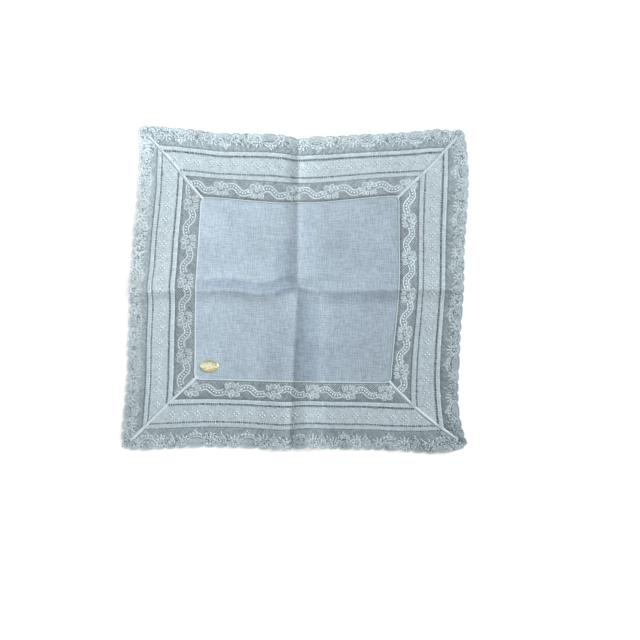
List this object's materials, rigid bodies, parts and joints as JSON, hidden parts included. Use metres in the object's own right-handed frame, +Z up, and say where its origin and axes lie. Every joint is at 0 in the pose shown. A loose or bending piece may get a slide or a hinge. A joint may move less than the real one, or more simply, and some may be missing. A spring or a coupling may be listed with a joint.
{
  "type": "lace handkerchief",
  "caption": "Square linen handkerchief lying flat with ironed creases, framed by lace insertion, hemstitched lawn bands and a scalloped lace edging.",
  "frame": {"origin": "on the table, under the middle of the lying cloth's outline", "axes": "+Z up out of the table; +X to the right along the cloth's longer way; +Y to its far side"},
  "size_m": [0.3164, 0.3048, 0.0044],
  "materials": {
    "linen": "plain weave with slubs",
    "lawn": "fine plain weave",
    "lace": "matte thread",
    "thread": "matte thread",
    "foil": "satin foil"
  },
  "bodies": {
    "root": {"linen_panel": "linen", "lace_insertion_far": "lace", "lawn_band_far": "lawn", "lace_edging_far": "lace", "lace_insertion_east": "lace", "lawn_band_east": "lawn", "lace_edging_east": "lace", "lace_insertion_near": "lace", "lawn_band_near": "lawn", "lace_edging_near": "lace", "lace_insertion_west": "lace", "lawn_band_west": "lawn", "lace_edging_west": "lace", "mitre_seam_northeast": "thread", "mitre_seam_southeast": "thread", "mitre_seam_southwest": "thread", "mitre_seam_northwest": "thread", "foil_label": "foil"}
  },
  "joints": []
}
